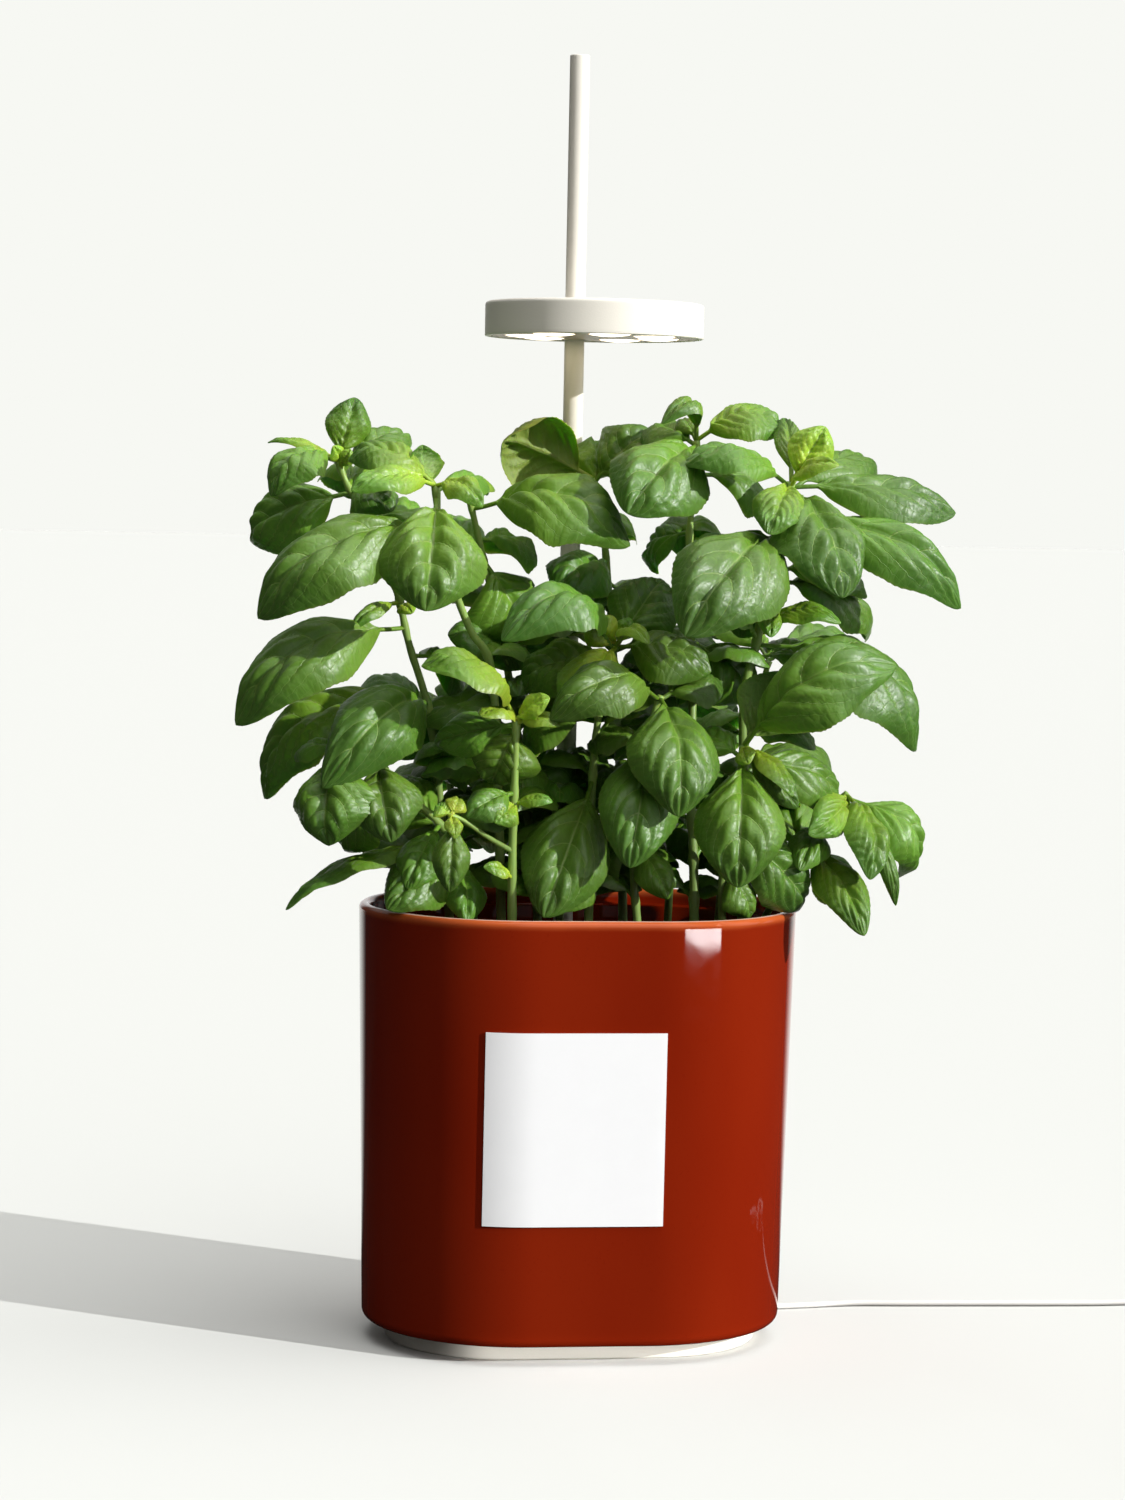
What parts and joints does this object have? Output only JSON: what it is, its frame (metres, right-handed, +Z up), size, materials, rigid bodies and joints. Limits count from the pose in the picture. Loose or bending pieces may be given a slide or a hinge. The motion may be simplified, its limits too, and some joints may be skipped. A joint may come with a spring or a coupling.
{
  "type": "potted basil plant",
  "caption": "Bushy basil plant in an oblong glazed pot on a flat base plate, with a disc-shaped grow lamp that slides and turns on a thin pole.",
  "frame": {"origin": "centre of the base plate's underside, on the surface that it stands on", "axes": "+Z up along the pole, +X to the right along the pot's long side, -Y towards the labelled front"},
  "size_m": [0.5038, 0.195, 0.587],
  "materials": {
    "cream_coat": "satin",
    "pale_rubber": "matte",
    "dark_rubber": "matte",
    "red_glaze": "gloss",
    "label_sheet": "matte",
    "potting_mix": "matte",
    "bushing_plastic": "matte",
    "cover_plastic": "matte",
    "board_plastic": "matte",
    "lens_plastic": "gloss",
    "basil": "satin",
    "cable_jacket": "satin",
    "plug_metal": "satin"
  },
  "bodies": {
    "root": {"base_plate": "cream_coat", "cable_gland": "pale_rubber", "pot": "red_glaze", "label": "label_sheet", "soil": "potting_mix", "pole_seal": "dark_rubber", "pole": "cream_coat", "stem_front_centre": "basil", "stem_left_front": "basil", "stem_left_tall": "basil", "stem_left_low": "basil", "stem_centre": "basil", "stem_centre_back": "basil", "stem_top_centre": "basil", "stem_right_tall": "basil", "stem_right_front_tall": "basil", "stem_right_front": "basil", "stem_right_low": "basil", "stem_centre_right": "basil", "stem_back_left": "basil", "stem_back_centre": "basil", "stem_back_right": "basil", "stem_back_far_right": "basil", "cable": "cable_jacket", "cable_coil": "cable_jacket", "plug_body": "cable_jacket", "plug_shell": "plug_metal"},
    "carriage": {"head_bushing": "bushing_plastic"},
    "head": {"head_shell": "cream_coat", "head_cover": "cover_plastic", "led_board": "board_plastic", "lens_1": "lens_plastic", "lens_2": "lens_plastic", "lens_3": "lens_plastic", "lens_4": "lens_plastic", "lens_5": "lens_plastic", "lens_6": "lens_plastic", "lens_7": "lens_plastic"}
  },
  "joints": [
    {"name": "lamp_height", "type": "slide", "parent": "root", "child": "carriage", "axis": [0, 0, 1], "range_m": [-0.02, 0.11]},
    {"name": "lamp_turn", "type": "hinge", "parent": "carriage", "child": "head", "pos_m": [0, 0.048, 0.4633], "axis": [0, 0, 1], "range_deg": [-170, 170]}
  ]
}
